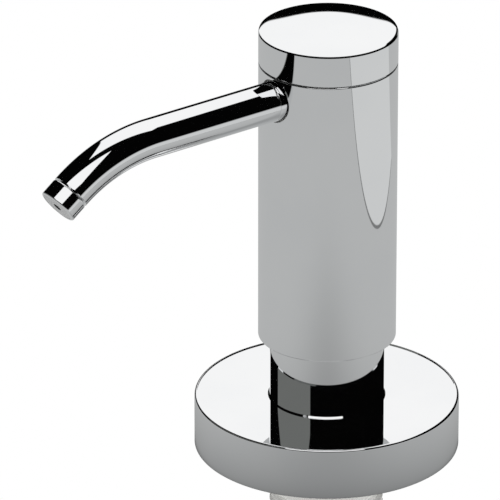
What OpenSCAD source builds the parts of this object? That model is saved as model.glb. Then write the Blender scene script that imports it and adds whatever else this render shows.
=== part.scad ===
// Built-in soap dispenser for a counter or a sink deck.
// A chromed head with a bent spout is pressed down on a fixed neck and works a piston pump.
// The pump hangs in a threaded shank that is clamped through the deck, and a bottle screws on below.
// Origin: centre of the deck opening, on the deck's top face. +Z is up and the spout points along -Y.
// All lengths are millimetres, all angles degrees.

/* [Rosette] */
// Diameter of the round cover on the deck
rosette_d = 55.7; // [52:0.1:75]
// Height of the cover above the deck
rosette_h = 10.8; // [9:0.1:16]
// Thickness of the cover's rim
rosette_wall = 2; // [1:0.1:3]
// Thickness of the cover's top plate
rosette_plate = 2.5; // [1.5:0.1:3.5]
// Radius on the cover's upper edge
rosette_edge = 0.7; // [0.2:0.05:1]
// Height of the cover's lip around the neck
lip_h = 0.5; // [0.4:0.1:2]
// Width of that lip, all of it chamfered at the top
lip_w = 0.3; // [0.2:0.05:1]
// Wall of the hub that seats the cover on the shank flange
hub_wall = 4; // [2:0.1:6]

/* [Pump] */
// Bore of the pump cylinder
pump_bore_d = 13.6; // [12:0.1:16]
// Wall of the pump cylinder
housing_wall = 1.3; // [1:0.1:2.5]
// How far the head is pressed down
stroke = 12; // [8:0.5:16]
// Height of the flange that hangs the pump on the neck
housing_flange = 2; // [1.5:0.1:4]
// Height of the closure that guides the stem
closure_h = 4; // [3:0.1:8]
// How far the closure's skirt reaches into the cylinder
closure_skirt = 6; // [3:0.5:10]
// Diameter of the hollow stem
stem_d = 6.4; // [5.6:0.1:7.6]
// Bore of the hollow stem
stem_bore_d = 3.2; // [2:0.1:4]
// Height of the piston
piston_h = 8; // [6:0.5:12]
// Height of the piston's sealing ring
piston_seal_h = 2.4; // [1.6:0.1:3]
// Depth of the piston's groove for the sealing ring
piston_groove = 1.4; // [1:0.1:2]
// Length of the return spring when the head is fully pressed
spring_pressed = 18; // [14:0.5:24]
// Wire diameter of the return spring
spring_wire = 1; // [0.8:0.05:1.2]
// Number of turns of the return spring
spring_turns = 8; // [5:1:10]
// Diameter of the inlet valve's ball
inlet_ball_d = 5; // [4:0.1:6]
// Thickness of the plate that traps the inlet ball and carries the spring
cage_h = 2; // [1.5:0.1:4]
// Diameter of the dip tube
dip_tube_d = 7; // [6.4:0.1:8]
// Wall of the dip tube
dip_tube_wall = 1; // [0.6:0.1:1.4]
// Length of the socket that holds the dip tube
dip_socket = 11; // [6:0.5:16]

/* [Neck and shank] */
// Wall of the chromed neck sleeve
neck_wall = 2.2; // [1:0.1:3]
// Wall of the shank inside the neck
spigot_wall = 1.45; // [1.3:0.05:3]
// Wall of the shank below the deck, to the thread's crest
shank_wall = 3.7; // [3:0.1:5]
// Depth of the thread
thread_depth = 0.9; // [0.5:0.05:1.1]
// Pitch of the thread
thread_pitch = 2; // [1.5:0.1:3]
// Length of the plain shank below the deck's top face
pilot_len = 10; // [6:0.5:14]
// Thickness of the shank flange
flange_h = 3; // [2:0.1:4.5]
// Thickness of the rubber ring under the shank flange
deck_gasket_h = 2; // [1:0.1:2.5]

/* [Clamp] */
// Thickness of the counter that the clamp stands ready for
counter_t = 30; // [16:1:60]
// Thickness of the clamp's rubber ring
clamp_gasket_h = 2; // [1:0.1:4]
// Thickness of the clamp's steel washer
washer_h = 1.5; // [1:0.1:3]
// Height of the lock nut
nut_h = 8.5; // [5:0.5:14]
// Wall of the lock nut at its flats
nut_wall = 5; // [3:0.1:7]
// Width of the washer and rubber ring outside the shank
washer_w = 8; // [5:0.5:12]
// Free thread between the lock nut and the bottle
nut_room = 6; // [5.5:0.5:12]

/* [Head] */
// Height of the head from its foot to the seam under the cap
head_len = 61.85; // [58:0.05:80]
// Wall of the head's sleeve
head_wall = 1.45; // [1.2:0.05:3]
// Radius on the head's foot
foot_round = 0.15; // [0.1:0.05:2]
// Height of the foot's inward lip
foot_lip = 3; // [2.5:0.1:6]
// Gap left over the rosette when the head is fully pressed
foot_gap = 1.8; // [0.5:0.1:3]
// Wall of the plastic bush that runs on the neck
bush_wall = 0.8; // [0.6:0.05:2]
// Length of the bush
bush_len = 12; // [6:0.5:16]
// Width of the seam under the cap
seam_gap = 0.3; // [0.15:0.05:0.6]
// Height of the cap
cap_h = 6.75; // [6.5:0.05:12]
// How far the manifold's spigot reaches into the cap
cap_socket = 4; // [2:0.1:4.5]
// Length of the manifold's boss above the stem's guide
boss_len = 10; // [9:0.5:14]
// Wall of the manifold's boss
boss_wall = 2.8; // [1.8:0.1:4]
// Depth of the stem in the manifold's boss
stem_socket = 8; // [6:0.5:8.5]
// Height of the outlet ball's chamber
outlet_chamber = 6; // [5:0.1:7]
// Floor of the manifold under the spout's bore
manifold_floor = 3.95; // [3:0.05:8]

/* [Spout] */
// Diameter of the spout
spout_d = 8.3; // [7:0.1:10]
// Wall of the spout tube
spout_wall = 1; // [0.6:0.1:1.2]
// Straight run of the spout, from the head's axis to the bend
spout_straight = 45.6; // [32:0.1:75]
// Radius of the bend
bend_r = 34; // [20:0.5:45]
// Angle that the spout turns down by
bend_angle = 36; // [15:0.5:60]
// Length of the outlet cap's spigot inside the spout
outlet_spigot = 2; // [1:0.1:2.5]
// Length of the outlet cap
outlet_len = 4.2; // [2.6:0.1:8]
// Diameter of the outlet hole
outlet_hole_d = 1.8; // [1:0.1:2.6]
// Thickness of the outlet's plastic insert
insert_h = 1.2; // [0.8:0.1:1.6]
// Step of the collar around the spout's root
collar_step = 0.2; // [0.15:0.05:0.8]
// How far the spout is turned down inside the collar
spout_step = 0.4; // [0.2:0.05:0.5]
// How far the collar stands out of the head
collar_out = 0.9; // [0.6:0.1:6]
// Wall of the hose inside the spout
hose_wall = 1.3; // [0.6:0.1:1.6]
// Depth of the spout in the manifold
spout_socket = 6; // [4:0.1:7]
// Thickness of the seal at the spout's inner end
spout_seal_h = 1; // [0.6:0.1:1.4]

/* [Bottle] */
// Diameter of the bottle
bottle_d = 62; // [50:1:90]
// Height of the bottle
bottle_h = 130; // [90:1:220]
// Wall of the bottle
bottle_wall = 1.2; // [0.8:0.1:2.5]
// Wall of the bottle's threaded collar
collar_wall = 3.35; // [2:0.05:6]
// Depth of the shank in the bottle's collar
collar_len = 10; // [7:0.5:18]
// Thickness of the seal in the bottle's collar
bottle_gasket_h = 2; // [1:0.1:3]
// Width of the ledge that carries the bottle's seal
bottle_ledge = 2.65; // [1.5:0.05:3]
// Radius on the bottle's bottom edge
bottle_foot = 6; // [3:0.5:12]
// Gap between the dip tube and the bottle's floor
dip_gap = 5; // [2:0.5:15]

/* [Hidden] */
$fn = 96;

// Clearances, radial unless the name says otherwise
slip = 0.05;
running = 0.1;
loose = 0.2;
foot_clear = 0.25;
thread_clear = 0.15;
ball_clear = 0.03;
end_clear = 0.3;
through = 1;
fine_edge = 0.15;
soft_edge = 0.3;
pilot_room = 1.2;
ball_room = 0.7;
ball_over = 0.4;
seat_width = 0.9;
ring_squeeze = 0.02;

// Colours
chrome = [0.80, 0.81, 0.82];
white_plastic = [0.93, 0.93, 0.91];
grey_plastic = [0.70, 0.71, 0.72];
rubber = [0.08, 0.08, 0.08];
steel = [0.62, 0.63, 0.64];
milky = [0.90, 0.91, 0.88];

// Radii, from the pump's bore outwards
bore_r = pump_bore_d / 2;
housing_r = bore_r + housing_wall;
shank_bore_r = housing_r + loose;
spigot_r = shank_bore_r + spigot_wall;
neck_r = spigot_r + running + neck_wall;
bush_r = neck_r + running + bush_wall;
head_bore_r = bush_r + slip;
head_r = head_bore_r + head_wall;
manifold_r = head_bore_r - slip;
shank_r = shank_bore_r + shank_wall;
closure_r = neck_r - foot_clear - running;
stem_r = stem_d / 2;
stem_bore_r = stem_bore_d / 2;
rosette_r = rosette_d / 2;
rosette_in_r = rosette_r - rosette_wall;
flange_gap = 3.5;
flange_r = rosette_in_r - flange_gap;

// Spout radii
spout_r = spout_d / 2;
spout_bore_r = spout_r - spout_wall;
hose_r = spout_bore_r - loose;
hose_bore_r = hose_r - hose_wall;
collar_r = spout_r + collar_step;
root_r = spout_r - spout_step;

// Heights above the deck
flange_z = deck_gasket_h + flange_h;
hub_z = rosette_h + lip_h;
foot_z = hub_z + stroke + foot_gap;
seam_z = foot_z + head_len;
cap_z = seam_z + seam_gap;
top_z = cap_z + cap_h;
spigot_top_z = cap_z + cap_socket;
top_land = 0.8;
spout_z = seam_z - collar_r - slip - top_land;
manifold_z = spout_z - spout_r - slip - manifold_floor;
boss_z = manifold_z - boss_len;
stem_top_z = boss_z + stem_socket;
chamber_top_z = stem_top_z + outlet_chamber;
press_gap = 1.25;
closure_top_z = boss_z - stroke - press_gap;
closure_z = closure_top_z - closure_h;
neck_top_z = closure_z - housing_flange;
piston_top_z = closure_z - closure_skirt - end_clear;
piston_z = piston_top_z - piston_h;
cage_top_z = piston_z - stroke - spring_pressed;
floor_z = cage_top_z - cage_h;

// Inlet valve and dip tube
inlet_ball_r = inlet_ball_d / 2;
inlet_chamber_r = inlet_ball_r + ball_room;
inlet_seat_r = inlet_ball_r - seat_width;
inlet_lift = 2;
inlet_seat_rise = sqrt(inlet_ball_r * inlet_ball_r - inlet_seat_r * inlet_seat_r);
inlet_chamber_h = inlet_seat_rise + inlet_ball_r + inlet_lift + 2 * end_clear;
seat_z = floor_z - inlet_chamber_h;
seat_h = 2;
dip_top_z = seat_z - seat_h;
housing_bottom_z = dip_top_z - dip_socket;
dip_tube_r = dip_tube_d / 2;
nozzle_wall = 1.7;
nozzle_r = max(dip_tube_r, inlet_chamber_r) + nozzle_wall;

// Outlet valve
outlet_ball_r = stem_bore_r + ball_over;
outlet_chamber_r = outlet_ball_r + ball_room;
outlet_seat_rise = sqrt(outlet_ball_r * outlet_ball_r - stem_bore_r * stem_bore_r);

// Heights below the deck
clamp_z = -counter_t;
washer_z = clamp_z - clamp_gasket_h;
nut_top_z = washer_z - washer_h;
nut_z = nut_top_z - nut_h;
bottle_top_z = nut_z - nut_room;
shank_end_z = bottle_top_z - collar_len;
ledge_z = shank_end_z - bottle_gasket_h;
ledge_h = 2;
shoulder_z = ledge_z - ledge_h;
bottle_z = bottle_top_z - bottle_h;
bottle_floor = 1.5;
dip_end_z = bottle_z + bottle_floor + dip_gap;
mouth_r = shank_r - bottle_ledge;
collar_out_r = shank_r + thread_clear + collar_wall;

// O-rings
housing_ring_room = 1.2;
housing_ring_wire = housing_ring_room / 2 - ring_squeeze;
stem_ring_room = 1;
stem_ring_wire = stem_ring_room / 2 - ring_squeeze;
stem_ring_rise = 2.5;
stem_ring_z = boss_z + stem_ring_rise;

// Return spring: one tube along a helix
spring_room = 1.1;
spring_r = bore_r - spring_room - spring_wire / 2;
spring_z = cage_top_z + running;
spring_len = piston_z - running - spring_z;
spring_steps = 12;
spring_sides = 6;
spring_count = spring_turns * spring_steps;
spring_rise = (spring_len - spring_wire) / spring_count;
spring_line = [for (i = [0:spring_count])
    [spring_r * cos(i * 360 / spring_steps), spring_r * sin(i * 360 / spring_steps),
        spring_z + spring_wire / 2 + i * spring_rise]];
spring_least = min([for (i = [0:spring_count - spring_steps / 2])
    min([for (k = [i + spring_steps / 2:spring_count]) norm(spring_line[i] - spring_line[k])])]);
echo(str("least gap between the spring's turns: ", spring_least - spring_wire, " mm"));

// Shapes that several pieces share

// A plain ring or tube between two heights
module ring(r_in, r_out, z0, z1) {
    difference() {
        translate([0, 0, z0]) cylinder(r = r_out, h = z1 - z0);
        hole(r_in, z0, z1);
    }
}

// A round hole that runs through both end faces
module hole(r, z0, z1) {
    translate([0, 0, z0 - through]) cylinder(r = r, h = z1 - z0 + 2 * through);
}

// A round bore from z0 up to z1, closed at neither end by itself
module bore(r, z0, z1) {
    translate([0, 0, z0]) cylinder(r = r, h = z1 - z0);
}

// A solid turned bar whose outer edges are rounded
module turned_bar(r, z0, z1, low, high) {
    rotate_extrude() {
        translate([0, z0 + low]) square([r, z1 - z0 - low - high]);
        translate([0, z0]) square([r - low, z1 - z0 - high]);
        translate([0, z0 + low]) square([r - high, z1 - z0 - low]);
        translate([r - low, z0 + low]) circle(r = low);
        translate([r - high, z1 - high]) circle(r = high);
    }
}

// A rubber ring of round section
module o_ring(mean_r, wire_r, z) {
    translate([0, 0, z]) rotate_extrude() translate([mean_r, 0]) circle(r = wire_r);
}

// A cylinder along the spout's first run, from one distance from the head's axis to another
module along_spout(r, from, to) {
    translate([0, -from, spout_z]) rotate([90, 0, 0]) cylinder(r = r, h = to - from);
}

// The bend's centre, with +X up to the bend's start and the bend turning towards +Y
module at_bend() {
    translate([0, -spout_straight, spout_z - bend_r]) rotate([180, -90, 0]) children();
}

// The spout's open end, with +Z pointing out of it
module at_spout_end() {
    at_bend() rotate([0, 0, bend_angle]) translate([bend_r, 0, 0]) rotate([-90, 0, 0]) children();
}

// A round bar that follows the spout: straight run, then the bend
module spout_bar(r, from, angle) {
    along_spout(r, from, spout_straight);
    at_bend() rotate_extrude(angle = angle) translate([bend_r, 0]) circle(r = r);
}

// A round tube that follows the spout
module spout_pipe(r_in, r_out, from, angle) {
    difference() {
        spout_bar(r_out, from, angle);
        spout_bar(r_in, from - through, angle + bend_spare);
    }
}

// Pieces fixed to the deck

neck_hole_r = neck_r + running;

module rosette() color(chrome) {
    difference() {
        union() {
            turned_bar(rosette_r, 0, rosette_h, fine_edge, rosette_edge);
            bore(neck_hole_r + lip_w, flange_z, hub_z - lip_w);
            translate([0, 0, hub_z - lip_w]) cylinder(r1 = neck_hole_r + lip_w, r2 = neck_hole_r, h = lip_w);
        }
        difference() {
            bore(rosette_in_r, -through, rosette_h - rosette_plate);
            bore(neck_hole_r + hub_wall, flange_z, rosette_h);
        }
        hole(neck_hole_r, 0, hub_z);
    }
}

module deck_gasket() color(rubber)
    ring(shank_r + pilot_room, flange_r, 0, deck_gasket_h);

// Thread ridges as a comb, crest to root, that stands on a band inside the shank's wall
thread_start_z = -pilot_len;
thread_count = floor((thread_start_z - shank_end_z) / thread_pitch);
thread_end_z = thread_start_z - thread_count * thread_pitch;
thread_flat = thread_pitch / 5;
thread_root_r = shank_r - thread_depth;
thread_band_r = (thread_root_r + shank_bore_r) / 2;
thread_ridges = [for (i = [0:thread_count - 1])
    let (z = thread_start_z - i * thread_pitch, mid = z - thread_pitch / 2)
    each [[thread_root_r, z], [thread_root_r, z - thread_flat],
        [shank_r, mid], [shank_r, mid - thread_flat]]];
thread_outline = concat([[thread_band_r, thread_end_z], [thread_band_r, thread_start_z]], thread_ridges,
    [[thread_root_r, thread_end_z]]);

module threaded_shank() color(white_plastic) {
    difference() {
        union() {
            bore(spigot_r, deck_gasket_h, neck_top_z);
            bore(flange_r, deck_gasket_h, flange_z);
            bore(shank_r, thread_start_z, flange_z);
            bore(thread_root_r, shank_end_z, flange_z);
            rotate_extrude() polygon(thread_outline);
        }
        hole(shank_bore_r, shank_end_z, neck_top_z);
        bore(housing_r + housing_ring_room, neck_top_z - 2 * housing_ring_wire, neck_top_z + through);
    }
}

module neck_sleeve() color(chrome) {
    difference() {
        turned_bar(neck_r, flange_z, neck_top_z, fine_edge, fine_edge);
        hole(spigot_r + running, flange_z, neck_top_z);
    }
}

module pump_housing() color(white_plastic) {
    difference() {
        union() {
            bore(closure_r, neck_top_z, closure_z);
            bore(housing_r, floor_z - seat_h, closure_z);
            bore(nozzle_r, housing_bottom_z, floor_z);
        }
        bore(bore_r, floor_z, closure_z + through);
        bore(inlet_chamber_r, seat_z, floor_z + through);
        bore(inlet_seat_r, dip_top_z - through, seat_z + through);
        bore(dip_tube_r + slip, housing_bottom_z - through, dip_top_z);
    }
}

module pump_closure() color(grey_plastic) {
    difference() {
        union() {
            turned_bar(closure_r, closure_z, closure_top_z, fine_edge, soft_edge);
            bore(bore_r - loose, closure_z - closure_skirt, closure_z + closure_h / 2);
        }
        hole(stem_r + running, closure_z - closure_skirt, closure_top_z);
    }
}

module housing_o_ring() color(rubber)
    o_ring(housing_r + housing_ring_room / 2, housing_ring_wire, neck_top_z - housing_ring_wire);

cage_hole_r = inlet_ball_r - ball_room;
cage_port_r = 0.6;

module valve_cage() color(grey_plastic) {
    difference() {
        ring(cage_hole_r, bore_r - running, floor_z, cage_top_z);
        for (turn = [0:90:270])
            rotate([0, 0, turn]) translate([inlet_ball_r, 0, 0]) hole(cage_port_r, floor_z, cage_top_z);
    }
}

// Each ring of the spring's tube lies in the plane through the spring's axis
spring_points = [for (i = [0:spring_count], k = [0:spring_sides - 1])
    let (turn = i * 360 / spring_steps, a = k * 360 / spring_sides, r = spring_r + spring_wire / 2 * cos(a))
        [r * cos(turn), r * sin(turn), spring_line[i][2] + spring_wire / 2 * sin(a)]];
spring_sides_faces = [for (i = [0:spring_count - 1], k = [0:spring_sides - 1], half = [0, 1])
    let (a = i * spring_sides + k, b = i * spring_sides + (k + 1) % spring_sides)
        half == 0 ? [a, a + spring_sides, b + spring_sides] : [a, b + spring_sides, b]];
spring_end_faces = [for (k = [1:spring_sides - 2], last = [0, 1]) let (first = spring_count * spring_sides)
    last == 0 ? [0, k, k + 1] : [first, first + k + 1, first + k]];

module return_spring() color(steel)
    polyhedron(points = spring_points, faces = concat(spring_sides_faces, spring_end_faces));

module dip_tube() color(milky)
    ring(dip_tube_r - dip_tube_wall, dip_tube_r, dip_end_z, dip_top_z);

// Pieces that are pressed down

piston_floor = 2;
piston_r = bore_r - loose;
seal_z = piston_z + (piston_h - piston_seal_h) / 2;
seal_top_z = seal_z + piston_seal_h;

module pump_stem() color(white_plastic)
    ring(stem_bore_r, stem_r, piston_z + piston_floor, stem_top_z);

module piston() color(grey_plastic) {
    difference() {
        turned_bar(piston_r, piston_z, piston_top_z, soft_edge, soft_edge);
        bore(stem_r, piston_z + piston_floor, piston_top_z + through);
        hole(stem_bore_r, piston_z, piston_top_z);
        ring(piston_r - piston_groove, piston_r + through, seal_z, seal_top_z);
    }
}

module piston_seal() color(rubber)
    ring(piston_r - piston_groove, bore_r - slip, seal_z, seal_top_z);

// Pieces of the swivelling head

module head_sleeve() color(chrome) {
    difference() {
        turned_bar(head_r, foot_z, seam_z, foot_round, fine_edge);
        bore(neck_r + foot_clear, foot_z - through, seam_z);
        bore(head_bore_r, foot_z + foot_lip, seam_z + through);
        along_spout(collar_r + slip, manifold_r / 2, head_r + through);
    }
}

module guide_bush() color(white_plastic)
    ring(neck_r + running, bush_r, foot_z + foot_lip, foot_z + foot_lip + bush_len);

module spout_manifold() color(white_plastic) {
    difference() {
        union() {
            bore(manifold_r, manifold_z, seam_z);
            bore(manifold_r - end_clear, manifold_z, spigot_top_z);
            bore(stem_r + running + boss_wall, boss_z, spout_z);
        }
        bore(stem_r + running, boss_z - through, stem_top_z);
        bore(outlet_chamber_r, stem_top_z, chamber_top_z);
        bore(stem_bore_r, chamber_top_z - through, spout_z);
        ring(stem_r, stem_r + stem_ring_room, stem_ring_z - stem_ring_wire, stem_ring_z + stem_ring_wire);
        along_spout(stem_bore_r, 0, manifold_r);
        along_spout(root_r + slip, manifold_r - spout_socket - spout_seal_h, manifold_r + through);
    }
}

module stem_o_ring() color(rubber)
    o_ring(stem_r + stem_ring_room / 2, stem_ring_wire, stem_ring_z);

module head_cap() color(chrome) {
    difference() {
        turned_bar(head_r, cap_z, top_z, fine_edge, soft_edge);
        bore(manifold_r - end_clear + running, cap_z - through, spigot_top_z);
    }
}

spout_root = manifold_r - spout_socket;
collar_end = head_r + collar_out;
bend_spare = 3;

module spout_tube() color(chrome) {
    difference() {
        spout_pipe(spout_bore_r, spout_r, spout_root, bend_angle);
        difference() {
            along_spout(spout_r + through, spout_root - through, collar_end);
            along_spout(root_r, spout_root - 2 * through, collar_end + through);
        }
    }
}

module spout_collar() color(chrome) {
    difference() {
        along_spout(collar_r, manifold_r + slip, collar_end);
        along_spout(root_r + slip, manifold_r - through, collar_end + through);
    }
}

module spout_seal() color(rubber) {
    difference() {
        along_spout(root_r - slip, spout_root - spout_seal_h, spout_root);
        along_spout(hose_r + slip, spout_root - spout_seal_h - through, spout_root + through);
    }
}

// The hose stops short of the outlet cap's spigot
hose_angle = bend_angle - (outlet_spigot + end_clear) / bend_r * 180 / PI;

module delivery_hose() color(milky)
    spout_pipe(hose_bore_r, hose_r, spout_root - spout_seal_h, hose_angle);

outlet_lip = 0.7;
insert_r = spout_r - outlet_lip;
outlet_groove = 0.25;
outlet_slip = 0.15;

module outlet_cap() color(chrome) {
    at_spout_end() difference() {
        union() {
            turned_bar(spout_r, outlet_groove, outlet_len, fine_edge, soft_edge);
            bore(spout_bore_r - outlet_slip, -outlet_spigot, outlet_len - insert_h);
        }
        hole(hose_bore_r, -outlet_spigot, outlet_len);
        bore(insert_r + slip, outlet_len - insert_h, outlet_len + through);
    }
}

module outlet_insert() color(grey_plastic) {
    at_spout_end()
        ring(outlet_hole_d / 2, insert_r, outlet_len - insert_h, outlet_len - fine_edge);
}

// Valve balls, loose in their chambers

module inlet_ball() color(steel)
    translate([0, 0, seat_z + inlet_seat_rise + ball_clear]) sphere(r = inlet_ball_r);

module outlet_ball() color(steel)
    translate([0, 0, stem_top_z + outlet_seat_rise + ball_clear]) sphere(r = outlet_ball_r);

// Clamp under the deck

module clamp_gasket() color(rubber)
    ring(shank_r + 2 * thread_clear, shank_r + washer_w, washer_z, clamp_z);

module clamp_washer() color(steel)
    ring(shank_r + 2 * thread_clear, shank_r + washer_w, nut_top_z, washer_z);

nut_flat_r = shank_r + nut_wall;
nut_corner_r = nut_flat_r / cos(30);
nut_cone = nut_corner_r - nut_flat_r;

module lock_nut() color(white_plastic) {
    difference() {
        intersection() {
            translate([0, 0, nut_z]) cylinder(r = nut_corner_r, h = nut_h, $fn = 6);
            union() {
                bore(nut_flat_r + 2 * nut_cone, nut_z + nut_cone, nut_top_z);
                translate([0, 0, nut_z])
                    cylinder(r1 = nut_flat_r, r2 = nut_flat_r + 2 * nut_cone, h = nut_cone);
            }
        }
        hole(shank_r + running, nut_z, nut_top_z);
    }
}

// Soap bottle

bottle_r = bottle_d / 2;
shoulder_r = bottle_r - collar_out_r;

// The bottle's outline grown inwards by an inset, as a solid
module bottle_body(inset) {
    rotate_extrude() {
        low_r = bottle_foot - inset;
        top = shoulder_z - shoulder_r;
        bottom = bottle_z + (inset > 0 ? bottle_floor : 0);
        translate([0, bottom + low_r]) square([bottle_r - inset, top - bottom - low_r]);
        translate([0, bottom]) square([bottle_r - inset - low_r, low_r]);
        translate([bottle_r - inset - low_r, bottom + low_r]) circle(r = low_r);
        translate([0, top]) square([collar_out_r, shoulder_r - inset]);
        translate([collar_out_r, top]) intersection() {
            circle(r = shoulder_r - inset);
            square(shoulder_r);
        }
    }
}

module bottle() color(milky) {
    difference() {
        union() {
            bottle_body(0);
            bore(collar_out_r, shoulder_z - bottle_wall, bottle_top_z);
        }
        bottle_body(bottle_wall);
        bore(shank_r + thread_clear, ledge_z, bottle_top_z + through);
        bore(mouth_r, shoulder_z - shoulder_r, ledge_z + through);
    }
}

module bottle_gasket() color(rubber)
    ring(mouth_r + loose, shank_r - slip, ledge_z, shank_end_z);

rosette();
deck_gasket();
threaded_shank();
neck_sleeve();
pump_housing();
pump_closure();
housing_o_ring();
valve_cage();
return_spring();
dip_tube();
pump_stem();
piston();
piston_seal();
head_sleeve();
guide_bush();
spout_manifold();
stem_o_ring();
head_cap();
spout_tube();
spout_collar();
spout_seal();
delivery_hose();
outlet_cap();
outlet_insert();
inlet_ball();
outlet_ball();
clamp_gasket();
clamp_washer();
lock_nut();
bottle();
bottle_gasket();
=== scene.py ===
import math
import bpy
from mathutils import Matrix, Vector


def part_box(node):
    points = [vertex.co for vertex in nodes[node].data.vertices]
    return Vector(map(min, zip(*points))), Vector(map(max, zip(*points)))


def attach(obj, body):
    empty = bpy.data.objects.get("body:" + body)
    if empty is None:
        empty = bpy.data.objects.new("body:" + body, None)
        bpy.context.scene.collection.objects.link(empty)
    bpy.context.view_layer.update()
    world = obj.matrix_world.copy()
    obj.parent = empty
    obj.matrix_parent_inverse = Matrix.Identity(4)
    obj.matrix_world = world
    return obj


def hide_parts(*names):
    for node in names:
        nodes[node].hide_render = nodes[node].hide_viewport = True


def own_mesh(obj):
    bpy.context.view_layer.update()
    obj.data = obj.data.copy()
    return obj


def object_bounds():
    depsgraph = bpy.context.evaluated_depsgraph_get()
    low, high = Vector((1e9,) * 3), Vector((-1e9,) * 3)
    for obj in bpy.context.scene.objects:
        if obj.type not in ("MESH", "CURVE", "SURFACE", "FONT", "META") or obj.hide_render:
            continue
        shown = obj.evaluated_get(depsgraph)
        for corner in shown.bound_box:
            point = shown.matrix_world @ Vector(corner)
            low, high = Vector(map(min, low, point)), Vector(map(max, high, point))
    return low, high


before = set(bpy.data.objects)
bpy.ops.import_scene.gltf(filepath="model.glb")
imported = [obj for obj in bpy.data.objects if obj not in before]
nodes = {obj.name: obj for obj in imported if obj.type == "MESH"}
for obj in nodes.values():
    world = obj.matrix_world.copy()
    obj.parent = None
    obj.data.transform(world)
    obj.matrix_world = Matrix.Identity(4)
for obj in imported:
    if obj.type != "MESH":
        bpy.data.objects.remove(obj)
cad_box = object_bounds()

bpy.ops.object.select_all(action="DESELECT")

# The camera stands to the right of the spout, a little above the head, with a long lens.
# Its directions also place the panels, the table and the board that the chrome mirrors.
view_turn = math.radians(52.9)
view_rise = math.radians(24.77)
view_far = 1.5
aim_height = 0.050
aim_right = -0.01614
aim_up = -0.00537
to_right = Vector((math.cos(view_turn), math.sin(view_turn), 0))
to_viewer = Vector((math.sin(view_turn), -math.cos(view_turn), 0))
view_back = to_viewer * math.cos(view_rise) + Vector((0, 0, math.sin(view_rise)))
view_up = view_back.cross(to_right)
aim = Vector((0, 0, aim_height)) + to_right * aim_right + view_up * aim_up
bpy.ops.object.camera_add(location=aim + view_back * view_far)
camera = bpy.context.object
camera.rotation_euler = view_back.to_track_quat("Z", "Y").to_euler()
camera.data.sensor_width = 36
camera.data.lens = 518.5
camera.data.clip_start = 0.05
camera.data.clip_end = 60
bpy.context.scene.camera = camera
bpy.context.scene.view_settings.view_transform = "Standard"

# The studio: a white sweep behind and overhead, and a smaller white screen over the camera.
# Polished metal sees these two; everything else sees even soft light, and the camera sees plain white.


class Wire:
    """A socket that takes part in plain arithmetic and adds the nodes that it needs."""

    def __init__(self, tree, socket):
        self.tree = tree
        self.socket = socket

    def node(self, kind, settings=None, **inputs):
        """A new node. An input goes by its name, with _ for a space, or by its number."""
        made = self.tree.nodes.new(kind)
        for name, value in (settings or {}).items():
            setattr(made, name, value)
        for name, value in inputs.items():
            name = name.replace("_", " ")
            socket = made.inputs[int(name)] if name.isdigit() else made.inputs[name]
            if isinstance(value, Wire):
                self.tree.links.new(value.socket, socket)
            else:
                socket.default_value = value
        return made

    def out(self, made, name=0):
        return Wire(self.tree, made.outputs[name])

    def maths(self, operation, first, second=0.0):
        return self.out(self.node("ShaderNodeMath", {"operation": operation}, **{"0": first, "1": second}))

    def __add__(self, other):
        return self.maths("ADD", self, other)

    def __sub__(self, other):
        return self.maths("SUBTRACT", self, other)

    def __rsub__(self, other):
        return self.maths("SUBTRACT", other, self)

    def __mul__(self, other):
        return self.maths("MULTIPLY", self, other)

    def __truediv__(self, other):
        return self.maths("DIVIDE", self, other)

    __radd__ = __add__
    __rmul__ = __mul__

    def step(self, low, high):
        """0 below low, 1 above high, and a smooth rise between them."""
        rise = {"interpolation_type": "SMOOTHSTEP"}
        return self.out(self.node("ShaderNodeMapRange", rise, Value=self, From_Min=low, From_Max=high))

    def mix(self, first, second):
        """A colour between two others, by this value."""
        made = self.node("ShaderNodeMix", {"data_type": "RGBA"}, **{"0": self, "6": first, "7": second})
        return self.out(made, 2)

    def along(self, direction):
        """How far a vector reaches along a fixed direction."""
        made = self.node("ShaderNodeVectorMath", {"operation": "DOT_PRODUCT"}, **{"0": self, "1": direction})
        return self.out(made, "Value")

    def length(self):
        """How long a vector is."""
        return self.out(self.node("ShaderNodeVectorMath", {"operation": "LENGTH"}, **{"0": self}), "Value")

    def noise(self, scale, detail):
        """Even noise over places."""
        return self.out(self.node("ShaderNodeTexNoise", Vector=self, Scale=scale, Detail=detail), "Fac")

    def place(self):
        """Where a point lies on its own piece."""
        return self.out(self.node("ShaderNodeTexCoord"), "Object")


def clean_tree(owner):
    owner.use_nodes = True
    owner.node_tree.nodes.clear()
    return Wire(owner.node_tree, None)


world = bpy.data.worlds.new("studio")
bpy.context.scene.world = world
sky = clean_tree(world)
look = sky.out(sky.node("ShaderNodeTexCoord"), "Generated")
right = look.along(to_right)
front = look.along(to_viewer)
up = look.along((0, 0, 1))
panel_soft = 0.012
sweep_foot = 0.351
foot_soft = 0.008


def panel(*sides):
    """The sky inside some planes, each given by its right, front and up parts and its distance."""
    inside = 1
    for right_part, front_part, up_part, distance in sides:
        past = right * right_part + front * front_part + up * up_part - distance
        inside = past.step(0, panel_soft) * inside
    return inside


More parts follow.
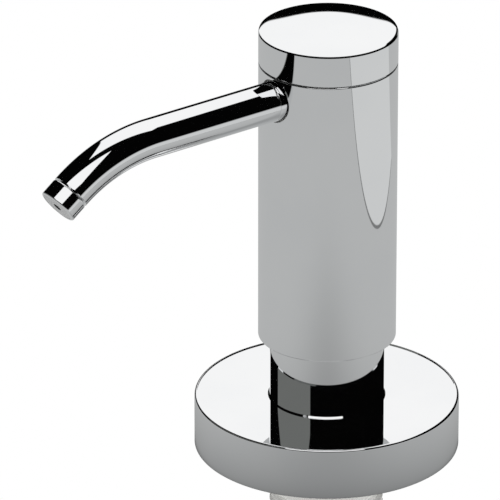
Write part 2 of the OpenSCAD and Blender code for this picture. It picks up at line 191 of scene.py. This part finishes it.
sweep_right = panel((-1, 0.28, 0.73, 0))
low_back = panel((0, -1, 0, 0.85), (-1, 0, 0, -0.12))
sweep = panel((1, -0.28, 0.20, 0), (0, -1, -0.05, 0)) * sky.maths("MAXIMUM", sweep_right, low_back)
sweep = sweep * up.step(sweep_foot, sweep_foot + foot_soft)
screen = panel((0, 1, -0.28, 0), (0, -1, 1.45, 0), (-1, 0.52, 0.21, 0), (1, 0.50, 0.30, 0))
dark_room = 0.001
soft_light = 0.80
path = sky.node("ShaderNodeLightPath")
seen = sky.out(path, "Is Camera Ray")
glossy = sky.out(path, "Is Glossy Ray")
strength = seen + glossy * (sweep + screen + dark_room) + (1 - seen) * (1 - glossy) * soft_light
glow = sky.node("ShaderNodeBackground", Color=(1, 1, 1, 1), Strength=strength)
sky.node("ShaderNodeOutputWorld", Surface=sky.out(glow))

# A soft lamp hangs overhead and a little behind, as in a light tent.
# It gives the plastic below the deck its form and stays out of the mirrors.
bpy.ops.object.light_add(type="AREA", location=(0.25, 0.35, 1.3))
lamp = bpy.context.object
lamp.data.shape = "DISK"
lamp.data.size = 0.9
lamp.data.energy = 9
lamp.rotation_euler = lamp.location.to_track_quat("Z", "Y").to_euler()
lamp.visible_glossy = False
lamp.visible_camera = False

# The floor is pale and matt, at the bottle's foot, and goes over into the white background.
# It ends inside the table's edge, so that the chrome mirrors none of it past the table.


def named(name):
    """Names the shape just added and applies its place, turn and scale."""
    piece = bpy.context.object
    piece.name = name
    bpy.ops.object.transform_apply()
    return piece


def new_finish(name):
    """A new material, and its empty node tree."""
    finish = bpy.data.materials.new(name)
    return finish, clean_tree(finish)


stage_sides = 96
floor_r = 3.5
floor_z = cad_box[0][2]
fade_start = 0.16
fade_end = 0.34
bpy.ops.mesh.primitive_circle_add(vertices=stage_sides, radius=floor_r, fill_type="NGON",
                                  location=(0, 0, floor_z))
floor = named("floor")
paper, ink = new_finish("paper")
faded = ink.place().length().step(fade_start, fade_end)
faded = faded * ink.out(ink.node("ShaderNodeLightPath"), "Is Camera Ray")
matt = ink.out(ink.node("ShaderNodeBsdfDiffuse", Color=(0.86, 0.86, 0.85, 1)))
white = ink.out(ink.node("ShaderNodeEmission", Color=(1, 1, 1, 1), Strength=1.0))
mixed = ink.node("ShaderNodeMixShader", **{"0": faded, "1": matt, "2": white})
ink.node("ShaderNodeOutputMaterial", Surface=ink.out(mixed))
floor.data.materials.append(paper)

# A glowing card stands for the table top that the chrome mirrors: grey, with painted shade round the foot
# and a painted shadow in front, and a paler sheet at the right with a painted shadow line along its edge.
# Only mirrored rays from above see it, so it stands for the deck and hides nothing below it.
# Its glow fades out far from the foot.
table_r = 4
table_z = -0.0004
table_tone = 0.485
painted_foot_shade_w = 0.012
painted_foot_shade_dark = 0.23
painted_foot_shade_front_w = 0.024
painted_foot_shade_front_dark = 0.17
painted_foot_line_w = 0.0005
painted_foot_line_dark = 0.85
painted_shadow_pool_w = 0.045
painted_shadow_pool_ahead = 0.045
painted_shadow_pool_len = 0.060
painted_shadow_pool_dark = 0.28
sheet_edge = 0.1302
sheet_back = -0.095
sheet_back_soft = 0.004
sheet_soft = 0.0005
sheet_tone = 0.635
painted_edge_shadow_start = -0.0025
painted_edge_shadow_full = -0.0018
painted_edge_shadow_dark = 0.6
dim_start = 0.33
dim_end = 0.66
bpy.ops.mesh.primitive_circle_add(vertices=stage_sides, radius=table_r, fill_type="NGON",
                                  location=(0, 0, table_z))
table = named("table_in_mirrors")
table_glow, ink = new_finish("table_grey")


def bell(value, width):
    """1 where the value is 0, with a smooth fall to both sides."""
    part = value / width
    return ink.maths("EXPONENT", part * part * -1)


place = ink.place()
reach = place.length()
aside = place.along(to_right)
ahead = place.along(to_viewer)
beyond = ink.maths("MAXIMUM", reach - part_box("rosette")[1].x, 0)
# Painted shade round the rosette's foot, deeper in front.
painted_foot_shade = ink.maths("EXPONENT", beyond / -painted_foot_shade_w) * (
    bell(aside, painted_foot_shade_front_w) * painted_foot_shade_front_dark + painted_foot_shade_dark)
# A thin painted shadow line right at the foot.
painted_foot_line = ink.maths("EXPONENT", beyond / -painted_foot_line_w) * painted_foot_line_dark
# A painted shadow pool in front of the foot.
painted_shadow_pool = bell(aside, painted_shadow_pool_w) * bell(ahead - painted_shadow_pool_ahead, painted_shadow_pool_len) * painted_shadow_pool_dark
plain = (1 - painted_foot_shade) * (1 - painted_shadow_pool) * (1 - painted_foot_line) * table_tone
past_sheet = aside - sheet_edge
sheet_end = (ahead - sheet_back).step(0, sheet_back_soft)
sheet = past_sheet.step(-sheet_soft, sheet_soft) * sheet_end
before_sheet = (1 - sheet) * (1 - past_sheet.step(0, 2 * sheet_soft)) * sheet_end
# A thin painted shadow line along the sheet's near edge.
painted_edge_shadow = past_sheet.step(painted_edge_shadow_start, painted_edge_shadow_full) * before_sheet * painted_edge_shadow_dark
light = plain * (1 - sheet) * (1 - painted_edge_shadow) + sheet * sheet_tone
light = light * (1 - reach.step(dim_start, dim_end))
glow = ink.out(ink.node("ShaderNodeEmission", Color=(0.985, 1.0, 1.0, 1), Strength=light))
clear = ink.out(ink.node("ShaderNodeBsdfTransparent"))
from_below = ink.out(ink.node("ShaderNodeNewGeometry"), "Backfacing")
mixed = ink.node("ShaderNodeMixShader", **{"0": from_below, "1": glow, "2": clear})
ink.node("ShaderNodeOutputMaterial", Surface=ink.out(mixed))
table.data.materials.append(table_glow)


def only_mirrored(prop):
    """Keeps a prop of the studio out of every ray but the mirrored ones."""
    prop.visible_camera = False
    prop.visible_diffuse = False
    prop.visible_transmission = False
    prop.visible_shadow = False


only_mirrored(table)

# A grey board, a card that glows dimly, stands low at the left, where the neck mirrors it by way of the
# rosette.
# Its top slopes down to the back, so that the small ring round the neck looks over it.
board_left = 0.120
board_ends = (-0.050, 0.185)
board_heights = (0.050, 0.118)
board_far_top = 0.072
board_centre = to_viewer * (sum(board_ends) / 2) - to_right * board_left
board_centre.z = sum(board_heights) / 2
bpy.ops.mesh.primitive_plane_add(size=1, location=board_centre,
                                 rotation=(math.pi / 2, 0, view_turn - math.pi / 2))
bpy.context.object.scale = (board_ends[1] - board_ends[0], board_heights[1] - board_heights[0], 1)
board = named("board_in_mirrors")
for point in board.data.vertices:
    if point.co.z > board_centre.z and point.co.dot(to_viewer) < board_centre.dot(to_viewer):
        point.co.z = board_far_top
board_glow, ink = new_finish("board_grey")
# The board's grey is its own dim glow.
glow = ink.node("ShaderNodeEmission", Color=(0.97, 1.0, 0.96, 1), Strength=0.165)
ink.node("ShaderNodeOutputMaterial", Surface=ink.out(glow))
board.data.materials.append(board_glow)
only_mirrored(board)

# The threaded shank: one white moulding with a flange that sits on the deck, a spigot inside the neck
# and a coarse right-hand thread below, which carries the lock nut and the bottle and runs out at both ends.


def take(piece):
    """Selects one piece alone and makes it the active one."""
    bpy.ops.object.select_all(action="DESELECT")
    piece.select_set(True)
    bpy.context.view_layer.objects.active = piece


def open_all():
    """Opens the active piece in edit mode, with all of it selected."""
    bpy.ops.object.mode_set(mode="EDIT")
    bpy.ops.mesh.select_all(action="SELECT")


def work(piece, kind, **settings):
    """Gives a piece a modifier with these settings and applies it."""
    take(piece)
    modifier = piece.modifiers.new(kind, kind)
    for name, value in settings.items():
        setattr(modifier, name, value)
    bpy.ops.object.modifier_apply(modifier=modifier.name)


def pick_rings(piece, rings, near=1e-5):
    """Selects the edges that lie on rings of these radii and heights, and leaves the piece in edit mode."""
    take(piece)
    bpy.ops.object.mode_set(mode="EDIT")
    bpy.ops.mesh.select_mode(type="EDGE")
    bpy.ops.mesh.select_all(action="DESELECT")
    bpy.ops.object.mode_set(mode="OBJECT")
    places = [(math.hypot(point.co.x, point.co.y), point.co.z) for point in piece.data.vertices]
    for radius, height in rings:
        here = [abs(r - radius) < near and abs(z - height) < near for r, z in places]
        for edge in piece.data.edges:
            if here[edge.vertices[0]] and here[edge.vertices[1]]:
                edge.select = True
    bpy.ops.object.mode_set(mode="EDIT")


def carry_on(here, rings):
    """Extrudes the selected ring of edges from its radius and height through the next ones."""
    radius, height = here
    for next_radius, next_height in rings:
        bpy.ops.mesh.extrude_edges_move(TRANSFORM_OT_translate={"value": (0, 0, next_height - height)})
        widen = next_radius / radius
        bpy.ops.transform.resize(value=(widen, widen, 1), center_override=(0, 0, next_height))
        radius, height = next_radius, next_height


def close_up(near=1e-7):
    """Merges and turns outwards the mesh in edit mode, and goes back to object mode."""
    bpy.ops.mesh.select_all(action="SELECT")
    bpy.ops.mesh.remove_doubles(threshold=near)
    bpy.ops.mesh.normals_make_consistent(inside=False)
    bpy.ops.object.mode_set(mode="OBJECT")


def round_rings(piece, rings, size, steps):
    """Rounds the edges that lie on these rings."""
    pick_rings(piece, rings)
    bpy.ops.mesh.bevel(offset=size, segments=steps, profile=0.5, affect="EDGES")
    bpy.ops.object.mode_set(mode="OBJECT")


def smooth(piece, angle=35):
    """Smooth shading that keeps flat faces flat beside their rounded edges."""
    take(piece)
    bpy.ops.object.shade_smooth_by_angle(angle=math.radians(angle))
    work(piece, "WEIGHTED_NORMAL", keep_sharp=True, weight=100)


def fit(piece, finish, node, body):
    """Gives a finished piece its material and puts it in the place of its solid."""
    piece.data.materials.clear()
    piece.data.materials.append(finish)
    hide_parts(node)
    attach(piece, body)


def shade(ink, **inputs):
    """Ends a material in one shader with these inputs."""
    shader = ink.node("ShaderNodeBsdfPrincipled", **inputs)
    ink.node("ShaderNodeOutputMaterial", Surface=ink.out(shader))


def moulded(name, colour, cloud_colour, rough, grain_depth, parting=0, **inputs):
    """A moulded finish: faint clouds in the colour and fine grain.
    A parting line stands up from it by so many times the grain's depth."""
    cloud_low = 0.36
    cloud_high = 0.68
    rough_range = 0.10
    ridge_w = 0.00008
    ridge_foot = 0.00030
    finish, ink = new_finish(name)
    place = ink.place()
    cloud = place.noise(scale=110.0, detail=3.0).step(cloud_low, cloud_high)
    grain = place.noise(scale=2600.0, detail=2.0)
    ridge = 1 - ink.maths("ABSOLUTE", place.along((1, 0, 0))).step(ridge_w, ridge_foot)
    bump = ink.node("ShaderNodeBump", Strength=0.35, Distance=grain_depth, Height=grain + ridge * parting)
    shade(ink, Base_Color=cloud.mix(colour, cloud_colour), Normal=ink.out(bump, "Normal"),
          Roughness=grain * rough_range + (rough - rough_range / 2), **inputs)
    return finish


shank_low, shank_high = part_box("threaded_shank")
flange_r = shank_high.x
flange_low = 0.002
flange_high = 0.005
spigot_r = 0.00975
shank_bore = 0.0083
inner_joint = shank_high.z - 0.002
joint_len = 0.001
crest_r = 0.0120
root_r = 0.0111
pitch = 0.0020
thread_top = -0.010
thread_turns = round((thread_top - shank_low.z) / pitch) + 2
turn_steps = 72
flank = 0.3
flat = 0.2
weld = 1e-6
cut_near = 1e-7


def set_radius(point, radius):
    """Moves a point straight in or out to this radius."""
    scale = radius / math.hypot(point.co.x, point.co.y)
    point.co.x *= scale
    point.co.y *= scale


bpy.ops.mesh.primitive_plane_add(size=pitch, location=(root_r, 0, shank_low.z - pitch))
shank = named("shank_moulding")
open_all()
bpy.ops.mesh.merge(type="CENTER")
for out, rise in ((0, flat), (crest_r - root_r, flank), (0, flat), (root_r - crest_r, flank)):
    bpy.ops.mesh.extrude_vertices_move(TRANSFORM_OT_translate={"value": (out, 0, rise * pitch)})
bpy.ops.object.mode_set(mode="OBJECT")
work(shank, "SCREW", screw_offset=pitch, iterations=thread_turns, steps=turn_steps, render_steps=turn_steps)
for point in shank.data.vertices:
    run_out = min(thread_top - point.co.z, point.co.z - shank_low.z) / pitch
    depth = min(max(run_out, 0), 1)
    set_radius(point, root_r + (math.hypot(point.co.x, point.co.y) - root_r) * depth)
open_all()
bpy.ops.mesh.remove_doubles(threshold=weld)
for height, side in ((thread_top, 1), (shank_low.z, -1)):
    bpy.ops.mesh.select_all(action="SELECT")
    bpy.ops.mesh.bisect(plane_co=(0, 0, height), plane_no=(0, 0, side), clear_outer=True, use_fill=False,
                        threshold=cut_near)
bpy.ops.object.mode_set(mode="OBJECT")
for point in shank.data.vertices:
    if min(thread_top - point.co.z, point.co.z - shank_low.z) < weld:
        set_radius(point, root_r)
pick_rings(shank, [(root_r, thread_top)])
carry_on((root_r, thread_top), [(crest_r, thread_top), (crest_r, flange_low), (flange_r, flange_low),
                                (flange_r, flange_high), (spigot_r, flange_high), (spigot_r, shank_high.z),
                                (shank_bore, shank_high.z), (shank_bore, inner_joint)])
bpy.ops.object.mode_set(mode="OBJECT")
pick_rings(shank, [(root_r, shank_low.z)])
carry_on((root_r, shank_low.z), [(shank_bore, shank_low.z), (shank_bore, inner_joint - joint_len)])
bpy.ops.object.mode_set(mode="OBJECT")
pick_rings(shank, [(shank_bore, inner_joint), (shank_bore, inner_joint - joint_len)])
bpy.ops.mesh.bridge_edge_loops()
close_up()
shank_edges = [(flange_r, flange_low), (flange_r, flange_high), (crest_r, thread_top)]
round_rings(shank, shank_edges, size=0.0004, steps=3)
smooth(shank)
white_plastic = moulded("white_plastic", (0.82, 0.82, 0.80, 1), (0.78, 0.78, 0.755, 1),
                        rough=0.42, grain_depth=0.00006)
fit(shank, white_plastic, "threaded_shank", "mount")

# The deck gasket: a flat black rubber ring under the shank's flange, punched from sheet.
# The rosette hides it from above.


def turned(name, rings, sides, capped=False):
    """A turned piece: a ring drawn through radii and heights, and back to its start or capped."""
    bpy.ops.mesh.primitive_circle_add(vertices=sides, radius=rings[0][0], location=(0, 0, rings[0][1]))
    piece = named(name)
    open_all()
    carry_on(rings[0], rings[1:] if capped else rings[1:] + rings[:1])
    bpy.ops.object.mode_set(mode="OBJECT")
    if capped:
        for ring in (rings[0], rings[-1]):
            pick_rings(piece, [ring])
            bpy.ops.mesh.edge_face_add()
            bpy.ops.object.mode_set(mode="OBJECT")
    bpy.ops.object.mode_set(mode="EDIT")
    close_up()
    return piece


def flat_ring(name, node, bore, edge):
    """A flat ring as wide and as high as its solid, with rounded edges."""
    low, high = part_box(node)
    rings = [(high.x, low.z), (high.x, high.z), (bore, high.z), (bore, low.z)]
    piece = turned(name, rings, sides=128)
    round_rings(piece, rings, edge, steps=3)
    smooth(piece)
    return piece


black_rubber = moulded("black_rubber", (0.022, 0.022, 0.023, 1), (0.034, 0.034, 0.033, 1),
                       rough=0.68, grain_depth=0.00010)
deck_ring = flat_ring("deck_ring", "deck_gasket", bore=0.0132, edge=0.0003)
fit(deck_ring, black_rubber, "deck_gasket", "mount")

# The rosette: a turned and chromed brass cover that hides the flange.
# A small chamfered ring stands up against the neck, and a low rounded bead runs round the rim.
haze_low = 0.35
haze_high = 0.70
haze_rough = 0.02
polish = 0.010
chrome, ink = new_finish("chrome")
haze = ink.place().noise(scale=60.0, detail=4.0)
tint = haze.step(haze_low, haze_high).mix((0.905, 0.910, 0.915, 1), (0.885, 0.892, 0.900, 1))
shade(ink, Base_Color=tint, Metallic=1.0, Roughness=haze * haze_rough + polish)

rosette_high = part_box("rosette")[1]
rosette_r = rosette_high.x
rosette_in = rosette_r - 0.002
neck_hole = 0.01208
ring_w = 0.0003
ring_r = neck_hole + ring_w
ring_z = rosette_high.z - 0.0001
top_z = ring_z - ring_w
plate_low = top_z - 0.0025
bead_w = 0.0005
bead_flat = 0.00002
bead_z = top_z + 0.0002
seat_z = 0.005
hub_r = 0.01615
fine_sides = 192
rosette = turned("rosette_cover", [
    (rosette_r, 0), (rosette_r, bead_z), (rosette_r - bead_w, bead_z), (rosette_r - bead_w, top_z),
    (ring_r, top_z), (neck_hole, ring_z), (neck_hole, seat_z),
    (hub_r, seat_z), (hub_r, plate_low), (rosette_in, plate_low), (rosette_in, 0)], fine_sides)
round_rings(rosette, [(rosette_r, bead_z)], bead_w - bead_flat, steps=10)
round_rings(rosette, [(rosette_r, 0)], size=0.0001, steps=3)
smooth(rosette)
fit(rosette, chrome, "rosette", "mount")

# The neck: a drawn and chromed brass tube, pushed over the shank's spigot.
# The head slides and turns on it.
neck_low, neck_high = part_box("neck_sleeve")
neck_r = neck_high.x
neck_bore = 0.00985
neck_rings = [(neck_r, neck_low.z), (neck_r, neck_high.z), (neck_bore, neck_high.z), (neck_bore, neck_low.z)]
neck = turned("neck_tube", neck_rings, fine_sides)
round_rings(neck, neck_rings[:2], size=0.00015, steps=3)
smooth(neck)
fit(neck, chrome, "neck_sleeve", "mount")

# The pump inside the neck and shank: moulded housing, closure, piston and stem, rubber rings, steel balls.
# A milky hose leads to the outlet and a milky tube dips into the bottle. All of it is hidden at rest.


def dress(names, finish):
    """Gives solids that stay as they are their finish."""
    for name in names:
        nodes[name].data.materials.clear()
        nodes[name].data.materials.append(finish)


grey_plastic = moulded("grey_plastic", (0.38, 0.385, 0.39, 1), (0.34, 0.345, 0.35, 1),
                       rough=0.45, grain_depth=0.00006)


def milky(name, parting=0):
    """Milky polyethylene, with or without a parting line."""
    return moulded(name, (0.80, 0.81, 0.775, 1), (0.775, 0.787, 0.752, 1), rough=0.40, grain_depth=0.00005,
                   parting=parting, Transmission_Weight=0.22, IOR=1.5)


milky_plastic = milky("milky_plastic")
steel_rough = 0.20
brush_rough = 0.22
steel, ink = new_finish("steel")
stretch = ink.node("ShaderNodeMapping", Vector=ink.place(), Scale=(1.0, 14.0, 14.0))
brushing = ink.out(stretch, "Vector").noise(scale=420.0, detail=3.0)
tint = brushing.mix((0.56, 0.57, 0.58, 1), (0.66, 0.665, 0.67, 1))
bump = ink.node("ShaderNodeBump", Strength=0.2, Distance=0.00004, Height=brushing)
shade(ink, Base_Color=tint, Metallic=1.0, Roughness=brushing * brush_rough + steel_rough,
      Normal=ink.out(bump, "Normal"))
dress(("pump_housing", "pump_stem", "guide_bush", "spout_manifold"), white_plastic)
dress(("pump_closure", "valve_cage", "piston"), grey_plastic)
dress(("housing_o_ring", "piston_seal", "stem_o_ring", "spout_seal", "bottle_gasket"), black_rubber)
dress(("inlet_ball", "outlet_ball"), steel)
dress(("dip_tube", "delivery_hose"), milky_plastic)

# The return spring: hard-drawn steel wire wound round the pump's axis, between valve cage and piston.
# It stands on its lower end and shortens as the head goes down.
spring_low, spring_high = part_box("return_spring")
spring_len = spring_high.z - spring_low.z
spring_turns = 8
coil_steps = 48
wire_r = 0.0005
wire_sides = 12
bpy.ops.mesh.primitive_circle_add(vertices=wire_sides, radius=wire_r, rotation=(math.pi / 2, 0, 0),
                                  location=(spring_high.x - wire_r, 0, spring_low.z + wire_r))
spring = named("spring_wire")
work(spring, "SCREW", screw_offset=(spring_len - 2 * wire_r) / spring_turns, iterations=spring_turns,
     steps=coil_steps, render_steps=coil_steps)
open_all()
bpy.ops.mesh.fill_holes(sides=0)
close_up()
smooth(spring)
fit(spring, steel, "return_spring", "mount")
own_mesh(spring)

# The head: a chromed sleeve with a square foot and a lip that runs on the neck.
# A round hole near its top lets the spout's collar through.
# The sleeve's shading comes from before the cut, so that the hole leaves no mark on its shine.
head_low, head_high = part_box("head_sleeve")
collar_low, collar_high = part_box("spout_collar")
head_r = head_high.x
head_bore = 0.0130
lip_bore = 0.0123
lip_z = head_low.z + 0.003
spout_z = (collar_low.z + collar_high.z) / 2
collar_r = (collar_high.z - collar_low.z) / 2
hole_gap = 0.00026
hole_r = collar_r + hole_gap
hole_sides = 96
hole_near = 1e-5
drill_len = 2 * (head_r - head_bore) + 0.004
head_rings = [(head_r, head_low.z), (head_r, head_high.z), (head_bore, head_high.z),
              (head_bore, lip_z), (lip_bore, lip_z), (lip_bore, head_low.z)]
head = turned("head_shell", head_rings, fine_sides)
round_rings(head, head_rings[:1], size=0.00012, steps=3)
round_rings(head, head_rings[1:2], size=0.0002, steps=1)
smooth(head)
bpy.ops.object.duplicate()
uncut = bpy.context.object
bpy.ops.mesh.primitive_cylinder_add(vertices=hole_sides, radius=hole_r, depth=drill_len,
                                    location=(0, -head_r, spout_z), rotation=(math.pi / 2, 0, 0))
drill = bpy.context.object
work(head, "BOOLEAN", object=drill, solver="EXACT")
work(head, "DATA_TRANSFER", object=uncut, use_loop_data=True, data_types_loops={"CUSTOM_NORMAL"},
     loop_mapping="POLYINTERP_NEAREST")
bpy.data.objects.remove(drill)
bpy.data.objects.remove(uncut)
normals = [corner.vector.copy() for corner in head.data.corner_normals]
for face in head.data.polygons:
    corners = [head.data.vertices[index].co for index in face.vertices]
    if all(abs(math.hypot(co.x, co.z - spout_z) - hole_r) < hole_near for co in corners):
        for corner in face.loop_indices:
            normals[corner] = face.normal
head.data.normals_split_custom_set(normals)
fit(head, chrome, "head_sleeve", "head")

# The press cap: a chromed disc pushed onto the head over a fine seam.
# Its flat top falls away very slightly towards the edge, which is broken by a steep chamfer.
cap_low, cap_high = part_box("head_cap")
cap_socket = 0.01275
socket_z = cap_low.z + 0.004
chamfer_w = 0.00015
chamfer_h = 0.00036
flat_r = 0.0067
fall_w = head_r - chamfer_w - flat_r
fall = 0.00024
fall_power = 2
edge_fall = 0.00006
edge_power = 24
fall_steps = 24
crown = []
for step in range(fall_steps + 1):
    out = 1 - (1 - step / fall_steps) ** 2
    height = fall * (1 - out ** fall_power) + edge_fall * (1 - out ** edge_power)
    crown.append((flat_r + fall_w * out, cap_high.z + height))
cap = turned("press_cap", crown + [
    (head_r, cap_high.z - chamfer_h), (head_r, cap_low.z), (cap_socket, cap_low.z), (cap_socket, socket_z)],
    fine_sides, capped=True)
round_rings(cap, [(head_r, cap_low.z)], size=0.0001, steps=6)
smooth(cap, angle=20)
fit(cap, chrome, "head_cap", "head")

# The spout: a chromed tube, straight out of the head and then bent down.
# Its root is turned down inside the collar.
tube_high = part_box("spout_tube")[1]
spout_r = 0.00415
turned_down = 0.00375
spout_wall = 0.0010
spout_sides = 128
bend_start = -0.0456
bend_r = 0.034
bend_angle = math.radians(36)
bend_steps = 48
bend_centre = Vector((0, bend_start, spout_z - bend_r))
widen = spout_r / turned_down
bpy.ops.mesh.primitive_circle_add(vertices=spout_sides, radius=turned_down, rotation=(math.pi / 2, 0, 0),
                                  location=(0, tube_high.y, spout_z))
spout = named("spout_pipe")
open_all()
bpy.ops.mesh.extrude_edges_move(TRANSFORM_OT_translate={"value": (0, collar_low.y - tube_high.y, 0)})
bpy.ops.mesh.extrude_edges_move()
bpy.ops.transform.resize(value=(widen, 1, widen), center_override=(0, collar_low.y, spout_z))
bpy.ops.mesh.extrude_edges_move(TRANSFORM_OT_translate={"value": (0, bend_start - collar_low.y, 0)})
bpy.ops.mesh.spin(steps=bend_steps, angle=-bend_angle, center=bend_centre, axis=(1, 0, 0))
close_up()
work(spout, "SOLIDIFY", thickness=spout_wall, offset=-1)
smooth(spout)
fit(spout, chrome, "spout_tube", "head")

# The collar round the spout's root: a plain chromed ring, almost flush with the spout.
# It is pushed over the turned-down root and stands in the head's hole with a fine gap round it.
collar_bore = turned_down + 0.00005
collar_len = collar_high.y - collar_low.y
ring_out = collar_r - 0.00012
collar_rings = [(ring_out, 0), (ring_out, collar_len), (collar_bore, collar_len), (collar_bore, 0)]
collar = turned("root_collar", collar_rings, spout_sides)
round_rings(collar, collar_rings[1:2], size=0.00005, steps=3)
smooth(collar)
collar.location = (0, collar_high.y, spout_z)
collar.rotation_euler.x = math.pi / 2
bpy.ops.object.transform_apply()
fit(collar, chrome, "spout_collar", "head")

# The outlet: a chromed end ring pressed into the spout over a fine gap, with a grey plastic disc in it.
# The disc has the small hole that the soap comes out of; the hole's wall is painted near-black as shade.
end_gap = 0.00025
end_len = 0.0042
disc_r = 0.00345
disc_room = 0.00005
disc_sides = 96
disc_low = end_len - 0.0012
disc_face = end_len - 0.00002
soap_hole = 0.0009
hole_shade_soft = 0.00008
feed_hole = 0.00165
plug_r = 0.0030
plug_len = 0.002
end_up = Vector((0, -math.sin(bend_angle), math.cos(bend_angle)))
end_centre = bend_centre + end_up * bend_r


def place_at_end(piece):
    """Moves a piece, turned about the upright axis, onto the spout's open end."""
    piece.location = end_centre
    piece.rotation_euler.x = math.pi / 2 + bend_angle
    bpy.ops.object.transform_apply()


end_ring = turned("outlet_ring", [
    (spout_r, end_gap), (spout_r, end_len), (disc_r + disc_room, end_len), (disc_r + disc_room, disc_low),
    (feed_hole, disc_low), (feed_hole, -plug_len), (plug_r, -plug_len), (plug_r, end_gap)], spout_sides)
round_rings(end_ring, [(spout_r, end_gap)], size=0.00045, steps=6)
round_rings(end_ring, [(spout_r, end_len)], size=0.00035, steps=6)
smooth(end_ring)
place_at_end(end_ring)
fit(end_ring, chrome, "outlet_cap", "head")

disc = turned("outlet_disc", [
    (disc_r, disc_low), (disc_r, disc_face), (soap_hole, disc_face), (soap_hole, disc_low)], disc_sides)
smooth(disc)
place_at_end(disc)
disc_rough = 0.40
grain_rough = 0.10
disc_grey, ink = new_finish("disc_grey")
place = ink.place()
aside = place.along((1, 0, 0))
across = place.along(end_up) - end_centre.dot(end_up)
from_hole = ink.maths("SQRT", aside * aside + across * across)
# Painted shade: inside the soap hole the disc's grey goes over into near-black.
painted_hole_shade = 1 - from_hole.step(soap_hole, soap_hole + hole_shade_soft)
tint = painted_hole_shade.mix((0.46, 0.465, 0.47, 1), (0.012, 0.012, 0.012, 1))
grain = place.noise(scale=2600.0, detail=2.0)
shade(ink, Base_Color=tint, Roughness=grain * grain_rough + disc_rough)
fit(disc, disc_grey, "outlet_insert", "head")

# The clamp under the deck: a punched black rubber ring and a stamped steel washer.
# Both are loose on the thread until the nut presses them up against the deck.
clamp_bore = 0.0123
clamp_ring = flat_ring("clamp_ring", "clamp_gasket", clamp_bore, edge=0.0003)
fit(clamp_ring, black_rubber, "clamp_gasket", "clamp")
washer = flat_ring("steel_washer", "clamp_washer", clamp_bore, edge=0.0002)
fit(washer, steel, "clamp_washer", "clamp")

# The lock nut: a white moulded hexagon with rounded corners, chamfered at its lower end.
# It runs on the shank's thread and draws the clamp tight.
nut_low, nut_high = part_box("lock_nut")
nut_corner = nut_high.x
nut_flat = nut_corner * math.cos(math.pi / 6)
nut_cone = nut_corner - nut_flat
nut_middle = (nut_high.z + nut_low.z) / 2
nut_bore = 0.0121
blank_r = nut_flat + 2 * nut_cone
blank_sides = 96
bpy.ops.mesh.primitive_cylinder_add(vertices=6, radius=nut_corner, depth=nut_high.z - nut_low.z,
                                    location=(0, 0, nut_middle), rotation=(0, 0, math.pi / 6))
nut = named("hexagon_nut")
for edge in nut.data.edges:
    ends = [nut.data.vertices[index].co.z for index in edge.vertices]
    edge.select = abs(ends[0] - ends[1]) > nut_cone
bpy.ops.object.mode_set(mode="EDIT")
bpy.ops.mesh.bevel(offset=0.0012, segments=5, profile=0.5, affect="EDGES")
bpy.ops.object.mode_set(mode="OBJECT")
blank = turned("nut_blank", [
    (nut_bore, nut_low.z), (nut_flat, nut_low.z), (blank_r, nut_low.z + nut_cone),
    (blank_r, nut_high.z), (nut_bore, nut_high.z)], blank_sides)
work(nut, "BOOLEAN", operation="INTERSECT", object=blank, solver="EXACT")
bpy.data.objects.remove(blank)
work(nut, "BEVEL", width=0.0003, segments=2, limit_method="ANGLE", angle_limit=math.radians(25))
smooth(nut)
fit(nut, white_plastic, "lock_nut", "nut")

# The soap bottle: blow-moulded milky polyethylene with a thick collar, round shoulder and pushed-in base.
# It screws onto the shank's end against a rubber seal.
bottle_low, bottle_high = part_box("bottle")
bottle_r = bottle_high.x
bottle_wall = 0.0012
bottle_floor = bottle_low.z + 0.0015
bottle_collar = 0.0155
bottle_bore = 0.01215
bottle_sides = 160
mouth_r = 0.00935
ledge_z = bottle_high.z - 0.012
shoulder_z = bottle_high.z - 0.014
shoulder_round = bottle_r - bottle_collar - 0.0001
shoulder_steps = 20
foot_round = 0.006
foot_steps = 12
base_r = 0.0225
push_r = 0.0205
push_up = 0.0011
inner_r = bottle_r - bottle_wall
inner_top = shoulder_z - bottle_wall
bottle = turned("soap_bottle", [
    (push_r, bottle_floor + push_up), (base_r, bottle_floor), (inner_r, bottle_floor), (inner_r, inner_top),
    (mouth_r, inner_top), (mouth_r, ledge_z), (bottle_bore, ledge_z), (bottle_bore, bottle_high.z),
    (bottle_collar, bottle_high.z), (bottle_collar, shoulder_z), (bottle_r, shoulder_z),
    (bottle_r, bottle_low.z), (base_r, bottle_low.z), (push_r, bottle_low.z + push_up)],
    bottle_sides, capped=True)
round_rings(bottle, [(bottle_r, shoulder_z)], shoulder_round, shoulder_steps)
round_rings(bottle, [(inner_r, inner_top)], shoulder_round - bottle_wall, shoulder_steps)
round_rings(bottle, [(bottle_r, bottle_low.z)], foot_round, foot_steps)
round_rings(bottle, [(inner_r, bottle_floor)], foot_round - bottle_wall, foot_steps)
round_rings(bottle, [(bottle_collar, bottle_high.z)], size=0.0005, steps=4)
smooth(bottle)
fit(bottle, milky("bottle_plastic", parting=5), "bottle", "reservoir")
